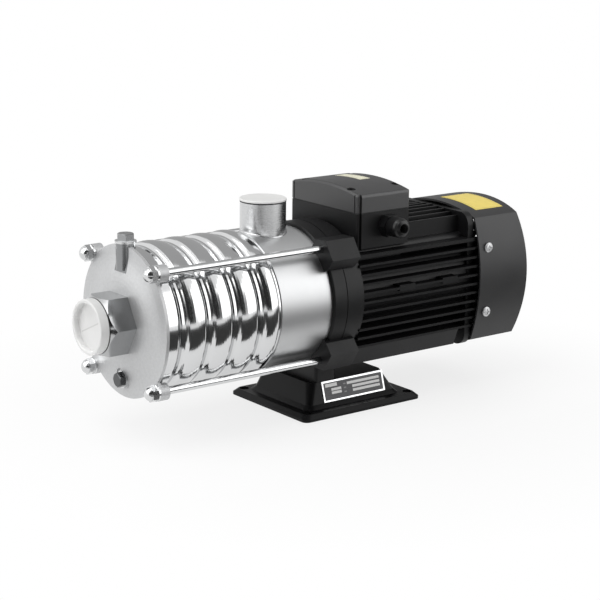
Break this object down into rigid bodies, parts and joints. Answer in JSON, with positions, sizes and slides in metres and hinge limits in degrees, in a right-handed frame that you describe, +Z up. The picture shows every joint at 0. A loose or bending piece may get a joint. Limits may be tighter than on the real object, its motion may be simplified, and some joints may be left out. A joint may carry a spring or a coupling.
{
  "type": "booster pump",
  "caption": "Horizontal multistage stainless steel water pump with a close-coupled fan-cooled motor, standing on a pressed foot.",
  "frame": {"origin": "on the floor, at the centre of the four holes in the foot", "axes": "+X along the shaft from the pump towards the motor's fan, +Z up out of the discharge port; the suction port faces -X and the cable gland faces -Y"},
  "size_m": [0.4684, 0.1421, 0.2068],
  "materials": {
    "blasted_steel": "bead-blasted matte",
    "polished_steel": "polished stainless",
    "satin_steel": "fine brushed",
    "ptfe": "moulded",
    "rubber": "moulded",
    "ceramic": "ground ceramic",
    "bright_fasteners": "bright zinc and stainless",
    "black_casting": "satin powder coat",
    "black_sheet": "satin powder coat",
    "plate_metal": "printed plate",
    "iron": "laminated",
    "copper": "varnished wire",
    "shaft_steel": "ground",
    "cover_paint": "satin powder coat",
    "cream_plastic": "moulded",
    "brass": "machined",
    "black_plastic": "moulded",
    "seal_metal": "turned",
    "white_plastic": "translucent moulded"
  },
  "bodies": {
    "pump": {"suction_cover": "blasted_steel", "suction_nipple": "polished_steel", "inlet_shell": "polished_steel", "stage_casing_1": "polished_steel", "stage_casing_2": "polished_steel", "stage_casing_3": "polished_steel", "stage_casing_4": "polished_steel", "guide_wheel_1": "satin_steel", "guide_wheel_2": "satin_steel", "guide_wheel_3": "satin_steel", "guide_wheel_4": "satin_steel", "neck_rings": "ptfe", "casing_seals": "rubber", "discharge_chamber": "satin_steel", "discharge_tube": "satin_steel", "seal_cover": "satin_steel", "seal_seat": "ceramic", "tie_rods": "bright_fasteners", "dome_nuts": "bright_fasteners", "rod_washers": "bright_fasteners", "lantern": "black_casting", "foot_pan": "black_sheet", "foot_bolts": "bright_fasteners", "data_plate": "plate_metal", "motor_housing": "black_casting", "stator_core": "iron", "winding_heads": "copper", "rear_shield": "black_casting", "shield_bolts": "bright_fasteners", "bearing_outer_rings": "shaft_steel", "bearing_balls": "shaft_steel", "fan_cover": "cover_paint", "fan_cover_screws": "bright_fasteners", "terminal_box": "black_casting", "box_gasket": "rubber", "box_lid": "black_casting", "lid_screws": "bright_fasteners", "terminal_block": "cream_plastic", "terminal_studs": "brass", "gland_body": "black_plastic", "gland_nut": "black_plastic", "gland_seal": "rubber"},
    "rotor": {"shaft": "shaft_steel", "impeller_1": "satin_steel", "impeller_2": "satin_steel", "impeller_3": "satin_steel", "impeller_4": "satin_steel", "spacer_sleeves": "satin_steel", "shaft_nut": "brass", "seal_head": "seal_metal", "seal_spring": "satin_steel", "rotor_core": "iron", "bearing_inner_rings": "shaft_steel", "cooling_fan": "black_plastic"},
    "priming_washer": {"priming_washer": "bright_fasteners"},
    "priming_plug": {"priming_plug": "bright_fasteners"},
    "drain_washer": {"drain_washer": "bright_fasteners"},
    "drain_plug": {"drain_plug": "bright_fasteners"},
    "suction_cap": {"suction_cap": "white_plastic"},
    "discharge_cap": {"discharge_cap": "white_plastic"}
  },
  "joints": [
    {"name": "rotor_spin", "type": "hinge", "parent": "pump", "child": "rotor", "pos_m": [0, 0, 0.106], "axis": [1, 0, 0], "continuous": true},
    {"name": "suction_cap_pull", "type": "slide", "parent": "pump", "child": "suction_cap", "axis": [-1, 0, 0], "range_m": [0, 0.08]},
    {"name": "discharge_cap_pull", "type": "slide", "parent": "pump", "child": "discharge_cap", "axis": [0, 0, 1], "range_m": [0, 0.08]},
    {"name": "priming_plug_lift", "type": "slide", "parent": "pump", "child": "priming_washer", "axis": [0, 0, 1], "range_m": [0, 0.01]},
    {"name": "priming_plug_turn", "type": "hinge", "parent": "priming_washer", "child": "priming_plug", "pos_m": [-0.2205, 0, 0.1753], "axis": [0, 0, 1], "range_deg": [0, 2880]},
    {"name": "drain_plug_lift", "type": "slide", "parent": "pump", "child": "drain_washer", "axis": [-1, 0, 0], "range_m": [0, 0.01]},
    {"name": "drain_plug_turn", "type": "hinge", "parent": "drain_washer", "child": "drain_plug", "pos_m": [-0.2246, 0, 0.0545], "axis": [-1, 0, 0], "range_deg": [0, 2880]}
  ],
  "couplings": [
    {"joint": "priming_plug_lift", "follows": "priming_plug_turn", "m_per_rad": 0.00019894},
    {"joint": "drain_plug_lift", "follows": "drain_plug_turn", "m_per_rad": 0.00019894}
  ]
}
